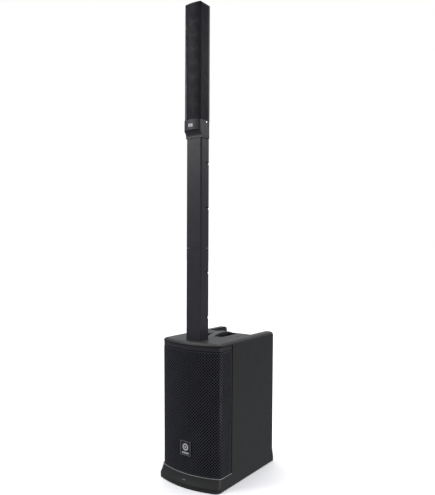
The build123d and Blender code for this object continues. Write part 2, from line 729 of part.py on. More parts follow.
def socket_block(z1):
    """Connector socket fixed in the top of a spacer."""
    z0 = z1 - TONGUE_LENGTH - 8
    blank = rounded_bar(COLUMN_HALF_X - TUBE_WALL - 0.2, COLUMN_HALF_Y - TUBE_WALL - 0.2, 3, z0, z1)
    hole = rounded_bar(TONGUE_HALF_X + SEAT_GAP, TONGUE_HALF_Y + SEAT_GAP, 3,
                       z1 - TONGUE_LENGTH - 2, z1 + 5)
    return blank - hole


# ---- array --------------------------------------------------------------------------------
def array_plan(half, front, bow, rear, corner, z):
    """Outline of the array with a bowed front."""
    face = plan(half, half, front, bow, rear, corner, corner * 0.8)
    return Pos(0, 0, z) * face


def array_block(z0, z1, inset=0.0):
    """Upright slice of the array."""
    face = array_plan(ARRAY_HALF - inset, ARRAY_FRONT + inset, ARRAY_BOW, ARRAY_REAR - inset,
                      max(ARRAY_CORNER - inset, 2), z0)
    return extrude(face, z1 - z0)


HEAD_Z = ARRAY_Z + COLLAR_HEIGHT
CAP_Z = TOTAL_HEIGHT - CAP_THICK


def array_collar():
    """Hollow collar that joins the array to the spacer, with a cove cut under its front."""
    face = array_plan(COLLAR_HALF, COLLAR_FRONT, 9.0, ARRAY_REAR, 10, ARRAY_Z + SEAT_GAP)
    collar = extrude(face, COLLAR_HEIGHT - SEAT_GAP)
    collar = chamfer(collar.faces().sort_by(Axis.Z)[0].edges(), 0.9)
    cove = Curve() + [
        Line((COVE_Y - 50, ARRAY_Z + 35), (COVE_Y - 24, ARRAY_Z + 34.5)),
        ThreePointArc((COVE_Y - 24, ARRAY_Z + 34.5), (COVE_Y - 4, ARRAY_Z + 23), (COVE_Y, ARRAY_Z + 6)),
        Line((COVE_Y, ARRAY_Z + 6), (COVE_Y, ARRAY_Z - 5)),
        Line((COVE_Y, ARRAY_Z - 5), (COVE_Y - 50, ARRAY_Z - 5)),
        Line((COVE_Y - 50, ARRAY_Z - 5), (COVE_Y - 50, ARRAY_Z + 35))]
    cut = Pos(-60, 0, 0) * extrude(make_face(Plane.YZ * cove), 120, dir=(1, 0, 0))
    collar -= cut
    collar -= rounded_bar(COLUMN_HALF_X - TUBE_WALL, COLUMN_HALF_Y - TUBE_WALL, 3,
                          ARRAY_Z - 5, ARRAY_Z + 32)
    collar -= rounded_bar(COLUMN_HALF_X - 8, COLUMN_HALF_Y - 7, 3, ARRAY_Z + 30, HEAD_Z + 5)
    for x, y, z in collar_screw_places():
        collar -= side_screw(x, y, z, 0.1)
    return collar - collar_badge()


def collar_screw_places():
    """One screw on each side, near the top of the collar."""
    return [(side * COLLAR_HALF, COLLAR_SCREW_Y, HEAD_Z - 5.5) for side in (-1, 1)]


def side_screw(x, y, z, clearance=0.0):
    """Bright domed screw across the collar's side."""
    inward = -1 if x > 0 else 1
    head = Rot(0, 90, 0) * Cylinder(3.2 + clearance, 1.6)
    shank = Rot(0, 90, 0) * Cylinder(1.4 + clearance, 6)
    return Pos(x, y, z) * head + Pos(x + inward * 3.4, y, z) * shank


def array_grille():
    """Fine steel mesh sheet wrapped round the front and both sides of the array."""
    ring = array_block(HEAD_Z + 0.4, CAP_Z - 0.4) - array_block(HEAD_Z - 5, CAP_Z + 5, 1.4)
    return ring & ahead_of(ARRAY_REAR - 12.5)


def array_rear_shell():
    """Channel that forms the back of the array and carries the baffle."""
    back = array_block(HEAD_Z, CAP_Z) & block(-60, 60, ARRAY_REAR - 12, ARRAY_REAR + 5, 0, 3000)
    walls = array_block(HEAD_Z, CAP_Z, 1.7) & block(-60, 60, ARRAY_BAFFLE_Y + 4, ARRAY_REAR - 5, 0, 3000)
    hollow = block(-ARRAY_HALF + 5, ARRAY_HALF - 5, -200, ARRAY_REAR - 4, HEAD_Z + 4, CAP_Z - 4)
    return back + walls - hollow


def driver_heights():
    """Heights of the small drivers, evenly spaced in the array."""
    middle = (HEAD_Z + CAP_Z) / 2
    return [middle + (i - (DRIVER_COUNT - 1) / 2) * DRIVER_PITCH for i in range(DRIVER_COUNT)]


def array_baffle():
    """Narrow board with a hole for each small driver."""
    board = block(-ARRAY_HALF + 3, ARRAY_HALF - 3, ARRAY_BAFFLE_Y, ARRAY_BAFFLE_Y + 3.8,
                  HEAD_Z + 0.5, CAP_Z - 0.5)
    for z in driver_heights():
        board -= disc_y(24, ARRAY_BAFFLE_Y - 2, ARRAY_BAFFLE_Y + 10, 0, z)
    return board


def small_frame(z):
    """Frame of a small driver."""
    ring = [(23.1, -2), (27, -2), (27, 0), (23.8, 0), (14, 14), (12, 14), (12, 13.2), (23.1, 0.4)]
    return turned(ring, (0, ARRAY_BAFFLE_Y, z))


def small_cone(z):
    """Cone of a small driver with its roll edge and dome, as one moulded diaphragm."""
    shape = make_face(Curve() + [
        dome_line(8, 3, 5.4), Line((8, 8.4), (19, 0.4)), ThreePointArc((19, 0.4), (21, -1.6), (22.9, 0.2)),
        Line((22.9, 0.2), (22.9, -0.6)), ThreePointArc((22.9, -0.6), (21, -2.6), (19, -0.6)),
        Line((19, -0.6), (8, 7.4)), dome_line(8, 3, 4.4), Line((0, 4.4), (0, 5.4))])
    return Pos(0, ARRAY_BAFFLE_Y, z) * revolve(shape, Axis.Y, 360)


def small_magnet(z):
    """Motor of a small driver."""
    return turned([(0, 14.1), (17, 14.1), (17, 25), (15, 28), (0, 28)], (0, ARRAY_BAFFLE_Y, z))


def array_top_cap():
    """Thin cap that closes the top of the array."""
    cap = array_block(CAP_Z, TOTAL_HEIGHT)
    return fillet(cap.faces().sort_by(Axis.Z)[-1].edges(), 2.0)


COLLAR_BADGE_Z = ARRAY_Z + 53.0


def collar_badge():
    """Small plain plate on the collar's front."""
    face_y = COLLAR_FRONT - 9.0
    return block(-11.0, 11.0, face_y - 0.6, face_y + 1.4, COLLAR_BADGE_Z - 6.5, COLLAR_BADGE_Z + 6.5)


# ---- write every piece --------------------------------------------------------------------
def write_sub():
    """Pieces of the subwoofer that don't move."""
    save("cabinet_shell", cabinet_shell())
    save("bottom_plate", bottom_plate())
    save("rubber_feet", group([rubber_foot(x, y) for x, y in FOOT_PLACES]))
    save("front_baffle", front_baffle())
    save("woofer_frame", woofer_frame())
    save("woofer_surround", woofer_surround())
    save("woofer_cone", woofer_cone())
    save("woofer_dust_cap", woofer_dust_cap())
    save("woofer_magnet", woofer_magnet())
    save("woofer_screws", group([baffle_screw(x, z + WOOFER_Z)
                                 for x, z in ring_places(8, WOOFER_BOLT_RADIUS)]))
    save("port_tubes", group([port_tube(side * PORT_X) for side in (-1, 1)]))
    save("front_grille", front_grille())
    save("grille_foam", grille_foam())
    save("grille_brow", grille_brow())
    save("grille_badge", grille_badge())
    save("status_lens", lens_block(-0.15))
    save("column_socket", column_socket())
    save("socket_contacts", contact_row(SOCKET_Z0 + 5, LOWER_Z - TONGUE_LENGTH - 0.5))
    save("handle_tub", handle_tub())
    save("handle_grip", handle_grip())
    save("heat_sink", heat_sink())
    save("amplifier_board", amplifier_board())
    save("power_supply", power_supply())


def write_rear_panel():
    """The rear panel, its sockets, and the controls that move in it."""
    save("rear_panel", rear_panel())
    save("panel_screws", group([panel_screw(place) for place in panel_screw_places()]))
    save("display_window", display_window())
    save("mixer_board", mixer_board())
    pots = [on_slope(u, v, 0, control_pot()) for u, v in all_controls()]
    save("control_pots", group(pots))
    save("combo_jacks", group([on_jacks(u, COMBO_V, 0, combo_jack()) for u in KNOB_U]))
    save("output_jack", on_jacks(OUTPUT_U, SECOND_V, 0, output_jack()))
    save("mini_jacks", group([on_jacks(u, SECOND_V, 0, small_jack()) for u in MINI_JACK_U]))
    save("power_inlet", on_jacks(INLET_U, THIRD_V, 0, power_inlet()))
    save("rocker_frame", on_jacks(ROCKER_U, THIRD_V, 0, rocker_frame()))
    save("power_rocker", on_jacks(ROCKER_U, THIRD_V, 0, power_rocker()))
    save("main_encoder", on_slope(*ENCODER_UV, 0, knob(19, 17, 21)))
    for index, u in enumerate(KNOB_U, start=1):
        save(f"channel_knob_{index}", on_slope(u, KNOB_V, 0, knob(10, 14, 21)))
    places = [(u, v) for v in BUTTON_V for u in BUTTON_U]
    for index, (u, v) in enumerate(places, start=1):
        save(f"panel_button_{index}", on_slope(u, v, 0, push_button()))


def write_column():
    """Both spacers and the array."""
    for name, z0 in (("lower", LOWER_Z), ("upper", UPPER_Z)):
        save(f"{name}_spacer_tube", spacer_tube(z0))
        save(f"{name}_spacer_plug", plug(z0))
        save(f"{name}_spacer_socket", socket_block(z0 + SPACER_LENGTH - SEAT_GAP))
    save("array_plug", plug(ARRAY_Z))
    save("array_collar", array_collar())
    save("collar_screws", group([side_screw(*place) for place in collar_screw_places()]))
    save("collar_badge", collar_badge())
    save("array_grille", array_grille())
    save("array_rear_shell", array_rear_shell())
    save("array_baffle", array_baffle())
    save("driver_frames", group([small_frame(z) for z in driver_heights()]))
    save("driver_cones", group([small_cone(z) for z in driver_heights()]))
    save("driver_magnets", group([small_magnet(z) for z in driver_heights()]))
    save("array_top_cap", array_top_cap())


os.makedirs("parts", exist_ok=True)
write_sub()
write_rear_panel()
write_column()
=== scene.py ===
import json
import math

import bpy
from mathutils import Matrix, Vector


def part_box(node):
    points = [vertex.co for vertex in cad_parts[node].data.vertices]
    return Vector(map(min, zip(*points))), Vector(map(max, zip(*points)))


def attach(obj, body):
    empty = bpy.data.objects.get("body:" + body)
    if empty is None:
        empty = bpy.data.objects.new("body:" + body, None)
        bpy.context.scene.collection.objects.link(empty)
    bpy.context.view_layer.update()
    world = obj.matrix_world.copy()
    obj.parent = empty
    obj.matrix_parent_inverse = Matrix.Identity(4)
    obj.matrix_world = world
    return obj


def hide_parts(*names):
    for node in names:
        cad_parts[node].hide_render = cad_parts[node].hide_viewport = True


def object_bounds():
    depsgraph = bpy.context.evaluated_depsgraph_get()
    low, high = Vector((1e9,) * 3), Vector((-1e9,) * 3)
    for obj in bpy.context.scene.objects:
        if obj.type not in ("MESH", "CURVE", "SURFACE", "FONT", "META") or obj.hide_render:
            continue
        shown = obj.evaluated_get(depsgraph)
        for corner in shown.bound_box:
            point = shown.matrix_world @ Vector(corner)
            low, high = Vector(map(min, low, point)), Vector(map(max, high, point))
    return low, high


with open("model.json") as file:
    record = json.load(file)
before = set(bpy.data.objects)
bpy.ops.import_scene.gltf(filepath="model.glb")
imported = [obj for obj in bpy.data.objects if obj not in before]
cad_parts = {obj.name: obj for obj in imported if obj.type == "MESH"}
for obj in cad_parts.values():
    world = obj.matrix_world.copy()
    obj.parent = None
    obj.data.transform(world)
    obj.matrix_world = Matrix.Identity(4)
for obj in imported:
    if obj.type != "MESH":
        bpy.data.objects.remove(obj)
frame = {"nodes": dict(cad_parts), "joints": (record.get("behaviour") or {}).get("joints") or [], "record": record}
nodes = frame["nodes"]
cad_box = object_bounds()
joints = {joint["name"]: joint for joint in frame["joints"]}

MM = 0.001
# Lowest and highest corner of every CAD node.
boxes = {name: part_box(name) for name in nodes}

# ---- camera and light ---------------------------------------------------------------------
CAMERA_PLACE = (1.4687, -2.0458, 1.0212)
CAMERA_YAW = math.radians(35.73)
CAMERA_ROLL = math.radians(0.2)
CAMERA_LENS = 39.64
CAMERA_SENSOR = 36
FLOOR_HALF = 30.0
WORLD_SEEN = 1.0
WORLD_LIGHT = 0.35
WORLD_TINT = (0.95, 0.96, 1.08)
OVERHEAD_SPREAD = math.radians(70)
OVERHEAD_POWER = 3.1
OVERHEAD_TILT = (math.radians(-8), math.radians(-6), 0)
# Each lamp: name, place, what it is aimed at, width, height and watts.
LAMPS = (
    ("front_left", (-1.6, -2.3, 2.7), (0, -0.1, 1.5), 0.9, 0.9, 31),
    ("right_rear", (1.7, 2.2, 2.7), (0, -0.1, 1.5), 0.9, 0.9, 13),
    ("back_left", (-3.4, 4.4, 1.5), (0, 0.1, 0.6), 4.5, 2.6, 12),
    ("low_right", (1.3, -0.1, 0.08), (0.16, 0, 0.0), 1.2, 0.15, 4),
)

# ---- cabinet and array outlines, as in the CAD model --------------------------------------
BODY = {"half": 159 * MM, "front": -198.5 * MM, "bow": 35.3 * MM, "corner": 24 * MM}
# How far the walls stand outside the plan at two heights.
BODY_DRAFT = ((66 * MM, -1.5 * MM), (618.6 * MM, 2.0 * MM))
GRILLE_INSET = 1.5 * MM
GRILLE_THICK = 2.0 * MM
GRILLE_CELL = 6.7 * MM
GRILLE_HOLE = 0.6
ARRAY = {"half": 43 * MM, "front": -194.3 * MM, "bow": 5.5 * MM, "corner": 6 * MM}
ARRAY_THICK = 1.4 * MM
ARRAY_CELL = 3.7 * MM
ARRAY_HOLE = 0.53

LEDGE_Z = 56 * MM
RIM_RADIUS = 1.3 * MM
RIM_SPREAD = 1.9 * MM
RIM_STEPS = 160
RIM_SIDES = 8
SHARP_ANGLE = math.radians(35)

# ---- print and trim -----------------------------------------------------------------------
PRINT_THICK = 0.12 * MM
PRINT_LIFT = 0.02 * MM
FINE_LINE = 0.5 * MM
LINE = 0.6 * MM
BOLD_LINE = 0.8 * MM
BADGE_MARGIN = 1.5 * MM
BADGE_BORDER = 2.2 * MM
MARK_RISE = 5 * MM

CHANNELS = (1, 2, 3, 4)
KNOB_ROW_V = -46 * MM
KNOB_RADIUS = 10 * MM
KNOB_HEIGHT = 14 * MM
ENCODER_RADIUS = 19 * MM
ENCODER_HEIGHT = 17 * MM
SWEEP = math.radians(300)
TICK_RADIUS = 12.5 * MM
TICK_LENGTH = 2.2 * MM
TICK_COUNT = 11
KNOB_NUMBER = 5 * MM
KNOB_NUMBER_DROP = 15 * MM
GROUP_LINE_HALF = 14 * MM
GROUP_LINE_RISE = 20 * MM
LIGHT_RADIUS = 1.2 * MM
LIGHT_THICK = 0.8 * MM
LIGHT_OFFSET = (12 * MM, 16.5 * MM)
ENCODER_RING = 23 * MM
ENCODER_RING_START = math.radians(-60)
# Line round the display on the panel: left, low, right and high.
DISPLAY_GROUP = (-107 * MM, -11 * MM, -13 * MM, 51 * MM)
POINTER_HALF = 0.6 * MM
POINTER_SUNK = 0.3 * MM
POINTER_THICK = 0.35 * MM

LEVELS = (5, 8, 6, 9, 4, 7, 10, 8)
PEAK_STEP = 6
LEVEL_PITCH = 9 * MM
LEVEL_RISE = 4 * MM
LEVEL_HALF = 2.8 * MM
LEVEL_TALL = 2.6 * MM
LEVEL_FOOT = 20 * MM
DISPLAY_FACE = 1.75 * MM
DISPLAY_HALF = (41 * MM, 25 * MM)

KEY_FACE = 2 * MM
ROCKER_TILT = math.radians(6)
ROCKER_FACE = 4.1 * MM

JACK_FACE = 2 * MM
JACK_NUMBER = 5.5 * MM
JACK_NUMBER_OFFSET = (-18 * MM, 10 * MM)
LATCH_HALF = 3.5 * MM
LATCH_FOOT = 10.4 * MM
LATCH_TALL = 4 * MM
LATCH_THICK = 1.4 * MM
BORE_RING = 4.4 * MM
SOCKET_RING = 10.6 * MM
RING_WIDTH = 1.0 * MM
RING_THICK = 0.5 * MM
GLYPHS = {"1": "bc", "2": "abged", "3": "abgcd", "4": "fgbc"}


# ---- finishes -----------------------------------------------------------------------------
# Colour sockets of a Mix node, whose names several sockets share.
MIX_FIRST, MIX_SECOND, MIX_RESULT = 6, 7, 2


class Finish:
    """A small builder for one procedural material."""

    def __init__(self, name, **uniform):
        self.material = bpy.data.materials.new(name)
        self.material.use_nodes = True
        self.tree = self.material.node_tree
        self.surface = self.tree.nodes["Principled BSDF"]
        self.place = self.tree.nodes.new("ShaderNodeTexCoord").outputs["Object"]
        for socket, value in uniform.items():
            self.surface.inputs[socket.replace("_", " ")].default_value = value

    def link(self, source, target):
        self.tree.links.new(source, target)

    def drive(self, socket, source):
        self.link(source, self.surface.inputs[socket])

    def stretched(self, stretch):
        """Object place with each axis multiplied."""
        node = self.tree.nodes.new("ShaderNodeVectorMath")
        node.operation = "MULTIPLY"
        node.inputs[1].default_value = stretch
        self.link(self.place, node.inputs[0])
        return node.outputs[0]

    def noise(self, cell, detail=2.0, roughness=0.5, stretch=None):
        """Noise whose features are about one cell across."""
        node = self.tree.nodes.new("ShaderNodeTexNoise")
        node.inputs["Scale"].default_value = 1 / cell
        node.inputs["Detail"].default_value = detail
        node.inputs["Roughness"].default_value = roughness
        self.link(self.stretched(stretch) if stretch else self.place, node.inputs["Vector"])
        return node.outputs["Fac"]

    def cells(self, size):
        """Distance from the middle of the nearest of many small cells."""
        node = self.tree.nodes.new("ShaderNodeTexVoronoi")
        node.inputs["Scale"].default_value = 1 / size
        self.link(self.place, node.inputs["Vector"])
        return node.outputs["Distance"]

    def spread(self, factor, low, high):
        """The middle of a noise stretched over a range."""
        node = self.tree.nodes.new("ShaderNodeMapRange")
        node.inputs["From Min"].default_value = 0.3
        node.inputs["From Max"].default_value = 0.7
        node.inputs["To Min"].default_value = low
        node.inputs["To Max"].default_value = high
        self.link(factor, node.inputs["Value"])
        return node.outputs["Result"]

    def sum(self, first, share, second):
        """first times share, plus second."""
        node = self.tree.nodes.new("ShaderNodeMath")
        node.operation = "MULTIPLY_ADD"
        node.inputs[1].default_value = share
        self.link(first, node.inputs[0])
        self.link(second, node.inputs[2])
        return node.outputs[0]

    def colours(self, factor, low, high):
        """Colour between two colours."""
        node = self.tree.nodes.new("ShaderNodeMix")
        node.data_type = "RGBA"
        node.inputs[MIX_FIRST].default_value = (*low, 1)
        node.inputs[MIX_SECOND].default_value = (*high, 1)
        self.link(factor, node.inputs[0])
        return node.outputs[MIX_RESULT]

    def bump(self, height, strength, distance):
        node = self.tree.nodes.new("ShaderNodeBump")
        node.inputs["Strength"].default_value = strength
        node.inputs["Distance"].default_value = distance
        self.link(height, node.inputs["Height"])
        return node.outputs["Normal"]


def scaled(colour, amount):
    """Colour made lighter or darker."""
    return tuple(min(1.0, channel * amount) for channel in colour)


def moulded(name, colour, rough, grain=0.8 * MM, relief=0.4, tone=0.12, specular=0.5, metallic=0.0,
            coat=0.0):
    """Moulded, painted or powder-coated surface: fine grain, slow drift of tone, uneven gloss."""
    f = Finish(name, Metallic=metallic, Specular_IOR_Level=specular, Coat_Weight=coat)
    fine = f.noise(grain, 2.0, 0.55)
    slow = f.spread(f.noise(70 * MM, 4.0, 0.6), 0.0, 1.0)
    tint = f.sum(fine, 0.3, slow)
    f.drive("Base Color", f.colours(tint, scaled(colour, 1 - tone), scaled(colour, 1 + tone)))
    f.drive("Roughness", f.spread(f.noise(24 * MM, 4.0, 0.65), rough - 0.05, rough + 0.06))
    f.drive("Normal", f.bump(fine, relief, 0.06 * MM))
    return f.material


def drawn_metal(name, colour, rough, along=2):
    """Bare metal with fine scratches along one axis."""
    f = Finish(name, Metallic=1.0)
    stretch = [1.0, 1.0, 1.0]
    stretch[along] = 0.06
    lines = f.noise(0.5 * MM, 3.0, 0.7, tuple(stretch))
    f.drive("Base Color", f.colours(lines, scaled(colour, 0.8), scaled(colour, 1.15)))
    f.drive("Roughness", f.spread(lines, rough - 0.08, rough + 0.12))
    f.drive("Normal", f.bump(lines, 0.25, 0.03 * MM))
    return f.material


def foamed(name, colour):
    """Open-cell foam."""
    f = Finish(name, Specular_IOR_Level=0.03)
    pores = f.cells(1.6 * MM)
    f.drive("Base Color", f.colours(pores, scaled(colour, 0.3), scaled(colour, 1.6)))
    f.drive("Roughness", f.spread(f.noise(8 * MM), 0.88, 1.0))
    f.drive("Normal", f.bump(pores, 0.9, 0.6 * MM))
    return f.material


def pulped(name, colour):
    """Pressed paper cone with short fibres."""
    f = Finish(name, Specular_IOR_Level=0.25)
    fibres = f.noise(1.4 * MM, 5.0, 0.75, (1.0, 0.35, 1.0))
    f.drive("Base Color", f.colours(fibres, scaled(colour, 0.5), scaled(colour, 1.7)))
    f.drive("Roughness", f.spread(fibres, 0.75, 0.95))
    f.drive("Normal", f.bump(fibres, 0.7, 0.2 * MM))
    return f.material


def lit(name, colour, strength):
    """Lit lens or mark, a little uneven across its face."""
    f = Finish(name, Emission_Strength=strength)
    glow = f.colours(f.noise(2 * MM), scaled(colour, 0.75), colour)
    f.drive("Base Color", glow)
    f.drive("Emission Color", glow)
    f.drive("Roughness", f.spread(f.noise(1 * MM), 0.25, 0.4))
    return f.material


FINISHES = {
    "cabinet_plastic": moulded("cabinet_plastic", (0.0205, 0.021, 0.0185), 0.44, 0.9 * MM, 0.45, 0.08,
                               specular=0.35),
    "plate_steel": moulded("plate_steel", (0.02, 0.02, 0.02), 0.5, metallic=0.3),
    "foot_rubber": moulded("foot_rubber", (0.015, 0.015, 0.015), 0.82, 1.5 * MM, specular=0.3),
    "baffle_board": moulded("baffle_board", (0.012, 0.012, 0.012), 0.8, 1.3 * MM, 0.7),
    "frame_steel": moulded("frame_steel", (0.02, 0.02, 0.022), 0.45, metallic=0.4),
    "surround_rubber": moulded("surround_rubber", (0.012, 0.012, 0.012), 0.62, 1.0 * MM, 0.2),
    "cone_pulp": pulped("cone_pulp", (0.02, 0.02, 0.02)),
    "motor_ferrite": moulded("motor_ferrite", (0.05, 0.05, 0.055), 0.5, metallic=0.6),
    "screw_steel": drawn_metal("screw_steel", (0.80, 0.80, 0.81), 0.25),
    "port_plastic": moulded("port_plastic", (0.016, 0.016, 0.016), 0.6),
    "grille_steel": moulded("grille_steel", (0.030, 0.031, 0.035), 0.40, 0.5 * MM, 0.3, 0.2,
                            specular=0.42),
    "foam": foamed("foam", (0.002, 0.002, 0.0022)),
    "brow_plastic": moulded("brow_plastic", (0.022, 0.022, 0.025), 0.44, 0.9 * MM, 0.45, specular=0.4),
    "badge_plate": moulded("badge_plate", (0.008, 0.008, 0.009), 0.25, 0.3 * MM, 0.1),
    "status_light": lit("status_light", (0.20, 0.21, 0.22), 0.1),
    "socket_plastic": moulded("socket_plastic", (0.02, 0.02, 0.02), 0.6),
    "contact_brass": drawn_metal("contact_brass", (0.75, 0.55, 0.25), 0.3),
    "tub_plastic": moulded("tub_plastic", (0.012, 0.012, 0.012), 0.7, 1.2 * MM, 0.5),
    "grip_plastic": moulded("grip_plastic", (0.038, 0.039, 0.041), 0.5, 1.4 * MM, 0.6),
    "sink_aluminium": moulded("sink_aluminium", (0.02, 0.02, 0.021), 0.4, metallic=0.7),
    "circuit_board": moulded("circuit_board", (0.015, 0.07, 0.035), 0.35, 3 * MM, tone=0.35),
    "supply_case": drawn_metal("supply_case", (0.6, 0.6, 0.61), 0.35),
    "panel_steel": moulded("panel_steel", (0.024, 0.025, 0.027), 0.5, 0.6 * MM, metallic=0.2),
    "display_glass": moulded("display_glass", (0.006, 0.007, 0.009), 0.1, 6 * MM, 0.02),
    "pot_steel": drawn_metal("pot_steel", (0.5, 0.5, 0.5), 0.35),
    "jack_plastic": moulded("jack_plastic", (0.014, 0.014, 0.014), 0.34, 0.5 * MM, 0.15),
    "mini_jack_plastic": moulded("mini_jack_plastic", (0.02, 0.02, 0.02), 0.36, 0.5 * MM, 0.15),
    "inlet_plastic": moulded("inlet_plastic", (0.014, 0.014, 0.014), 0.36, 0.5 * MM, 0.15),
    "rocker_plastic": moulded("rocker_plastic", (0.02, 0.02, 0.02), 0.28, 0.5 * MM, 0.1),
    "knob_plastic": moulded("knob_plastic", (0.022, 0.022, 0.023), 0.55, 0.6 * MM, 0.3),
    "button_rubber": moulded("button_rubber", (0.07, 0.07, 0.075), 0.72, 0.8 * MM, 0.3),
    "spacer_plastic": moulded("spacer_plastic", (0.022, 0.022, 0.025), 0.44, 0.8 * MM, 0.45),
    "collar_plastic": moulded("collar_plastic", (0.024, 0.024, 0.026), 0.47, 0.8 * MM, 0.45),
    "badge_metal": moulded("badge_metal", (0.30, 0.30, 0.31), 0.35, 0.5 * MM, 0.2, metallic=0.5),
    "array_mesh_steel": moulded("array_mesh_steel", (0.006, 0.006, 0.012), 0.45, 0.4 * MM, 0.3,
                                specular=0.2),
    "array_plastic": moulded("array_plastic", (0.032, 0.033, 0.036), 0.47, 0.8 * MM, 0.45),
}
GREY_PRINT = moulded("grey_print", (0.17, 0.17, 0.175), 0.5, 0.4 * MM, 0.1, 0.06)
# Light grey, glossy finish for the bead on the ledge's edge: the grey is a painted highlight, much lighter than
# the cabinet plastic the edge belongs to.
PAINTED_HIGHLIGHT_RIM = moulded("painted_highlight_rim", (0.30, 0.30, 0.31), 0.3, 0.5 * MM, 0.1, 0.1, specular=0.8)
PALE_PRINT = moulded("pale_print", (0.55, 0.55, 0.56), 0.6, 0.4 * MM, 0.1, 0.06)
DARK_PRINT = moulded("dark_print", (0.03, 0.03, 0.032), 0.5, 0.4 * MM, 0.1, 0.06)
GREEN_LIGHT = lit("green_light", (0.10, 0.62, 0.22), 0.5)
AMBER_LIGHT = lit("amber_light", (0.80, 0.42, 0.06), 0.4)
BLUE_LIGHT = lit("blue_light", (0.18, 0.42, 0.80), 0.6)


def dress_cad():
    """Give every CAD node the finish of its slot."""
    for row in frame["record"]["subparts"]:
        node = nodes[row["node"]]
        node.data.materials.clear()
        node.data.materials.append(FINISHES[row["material_slot"]])


# ---- mesh helpers -------------------------------------------------------------------------
def add_piece(name, points, faces, material, body, slot=None, replaced=()):
    """New mesh piece that rides on a body."""
    mesh = bpy.data.meshes.new(name)
    mesh.from_pydata(points, [], faces)
    mesh.validate()
    mesh.shade_smooth()
    mesh.set_sharp_from_angle(angle=SHARP_ANGLE)
    mesh.materials.append(material)
    piece = bpy.data.objects.new(name, mesh)
    bpy.context.scene.collection.objects.link(piece)
    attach(piece, body)
    if replaced:
        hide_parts(*replaced)
    return piece


class Outline:
    """Front and both sides of a bowed plan, from the left rear round to the right rear."""

    def __init__(self, half, front, bow, corner, rear):
        self.radius = (half ** 2 + bow ** 2) / (2 * bow)
        self.centre_y = front - bow + self.radius
        self.half, self.corner, self.rear = half, corner, rear
        self.corner_x = half - corner
        reach = math.sqrt((self.radius - corner) ** 2 - self.corner_x ** 2)
        self.corner_y = self.centre_y - reach
        self.turn = math.asin(self.corner_x / (self.radius - corner))
        self.side = rear - self.corner_y
        self.bend = (math.pi / 2 - self.turn) * corner
        self.length = 2 * (self.side + self.bend + self.turn * self.radius)

    def at(self, share):
        """Place and outward normal at a share of the whole length."""
        run = self.length * share
        sign = -1 if share < 0.5 else 1
        run = min(run, self.length - run)
        if run < self.side:
            x, y, nx, ny = self.half, self.rear - run, 1.0, 0.0
        elif run < self.side + self.bend:
            angle = math.pi / 2 - (run - self.side) / self.corner
            nx, ny = math.sin(angle), -math.cos(angle)
            x, y = self.corner_x + nx * self.corner, self.corner_y + ny * self.corner
        else:
            angle = self.turn - (run - self.side - self.bend) / self.radius
            nx, ny = math.sin(angle), -math.cos(angle)
            x, y = nx * self.radius, self.centre_y + ny * self.radius
        return sign * x, y, sign * nx, ny


class Perforated:
    """Bent sheet with a diagonal lattice of round holes, built cell by cell."""

    DIAMOND = [(1, 0), (0.5, 0.5), (0, 1), (-0.5, 0.5), (-1, 0), (-0.5, -0.5), (0, -1), (0.5, -0.5)]

    def __init__(self, outline_at, z0, z1, cell, hole, thick):
        self.outline_at, self.z0, self.z1 = outline_at, z0, z1
        self.thick, self.hole = thick, hole
        self.columns = 2 * round(outline_at((z0 + z1) / 2).length / cell / 2)
        self.rows = 2 * round((z1 - z0) / cell / 2)
        self.points, self.faces, self.known = [], [], {}

    def point(self, i, j, layer):
        """Index of the point at column i, row j, on the front (0) or the back (1)."""
        key = (round(i, 4), round(j, 4), layer)
        if key not in self.known:
            z = self.z0 + (self.z1 - self.z0) * j / self.rows
            x, y, nx, ny = self.outline_at(z).at(i / self.columns)
            depth = self.thick * layer
            self.known[key] = len(self.points)
            self.points.append((x - nx * depth, y - ny * depth, z))
        return self.known[key]

    def both(self, loop):
        """A face on the front, and the same one on the back facing the other way."""
        self.faces.append([self.point(i, j, 0) for i, j in loop])
        self.faces.append([self.point(i, j, 1) for i, j in reversed(loop)])

    def pierced(self, i, j):
        """Whole cell with its hole."""
        outer = [(i + a, j + b) for a, b in self.DIAMOND]
        count = len(outer)
        turns = [math.tau * k / count for k in range(count)]
        inner = [(i + self.hole * math.cos(t), j + self.hole * math.sin(t)) for t in turns]
        for k in range(count):
            n = (k + 1) % count
            self.both([outer[k], outer[n], inner[n], inner[k]])
            wall = [(inner[k], 0), (inner[n], 0), (inner[n], 1), (inner[k], 1)]
            self.faces.append([self.point(*place, layer) for place, layer in wall])

    def plain(self, i, j):
        """Part of a cell at the sheet's edge, with no hole."""
        loop = [(i + a, j + b) for a, b in self.DIAMOND
                if 0 <= i + a <= self.columns and 0 <= j + b <= self.rows]
        if i in (0, self.columns) and j in (0, self.rows):
            loop.append((i, j))
        mid_i = sum(a for a, b in loop) / len(loop)
        mid_j = sum(b for a, b in loop) / len(loop)
        self.both(sorted(loop, key=lambda p: math.atan2(p[1] - mid_j, p[0] - mid_i)))

    def rim(self):
        """Narrow faces that close the sheet's four edges."""
        across = [0, *range(1, self.columns, 2), self.columns]
        up = [0, *range(1, self.rows, 2), self.rows]
        loop = [(i, 0) for i in across] + [(self.columns, j) for j in up[1:]]
        loop += [(i, self.rows) for i in across[-2::-1]] + [(0, j) for j in up[-2:0:-1]]
        for a, b in zip(loop, loop[1:] + loop[:1]):
            self.faces.append([self.point(*a, 1), self.point(*b, 1), self.point(*b, 0),
                               self.point(*a, 0)])

    def build(self):
        for i in range(self.columns + 1):
            for j in range(i % 2, self.rows + 1, 2):
                if i in (0, self.columns) or j in (0, self.rows):
                    self.plain(i, j)
                else:
                    self.pierced(i, j)
        self.rim()
        return self.points, self.faces


def body_outline(z):
    """Outline of the sub grille's outer face at a height."""
    (z0, low), (z1, high) = BODY_DRAFT
    grow = low + (high - low) * (z - z0) / (z1 - z0) - GRILLE_INSET
    rear = boxes["front_grille"][1].y
    return Outline(BODY["half"] + grow, BODY["front"] - grow, BODY["bow"], BODY["corner"] + grow, rear)


